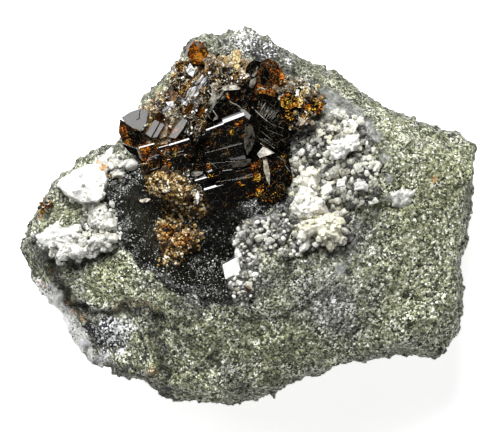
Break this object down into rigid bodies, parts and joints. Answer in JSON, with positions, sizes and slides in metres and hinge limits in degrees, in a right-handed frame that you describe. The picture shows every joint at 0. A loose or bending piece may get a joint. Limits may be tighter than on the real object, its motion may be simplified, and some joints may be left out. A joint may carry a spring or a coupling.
{
  "type": "vesuvianite crystal specimen",
  "caption": "Hand specimen: dark brown glassy vesuvianite prisms and white granular calcite on an angular block of green-grey diopside rock, lying on its flat back.",
  "frame": {"origin": "centre of the specimen's footprint, on the flat face of its back that it lies on", "axes": "+Z out of the crystal face, +X to the right of it, along its longest side, +Y to its top"},
  "size_m": [0.0802, 0.067, 0.0331],
  "materials": {
    "diopside_rock": "rough, granular, with glittering grain faces",
    "vesuvianite": "glassy, nearly black, amber where thin",
    "amber_vesuvianite": "glassy, translucent orange brown",
    "white_calcite": "pearly white, cleaved and granular",
    "grey_calcite": "pale grey, translucent, waxy grains",
    "brown_crust": "sugary, orange brown, translucent grains"
  },
  "bodies": {
    "root": {"matrix": "diopside_rock", "vesuvianite_crystals": "vesuvianite", "top_crystal": "amber_vesuvianite", "edge_crystals": "amber_vesuvianite", "left_calcite": "white_calcite", "right_calcite": "grey_calcite", "brown_crust": "brown_crust", "lower_brown_crust": "brown_crust", "grey_calcite_grain": "grey_calcite"}
  },
  "joints": []
}
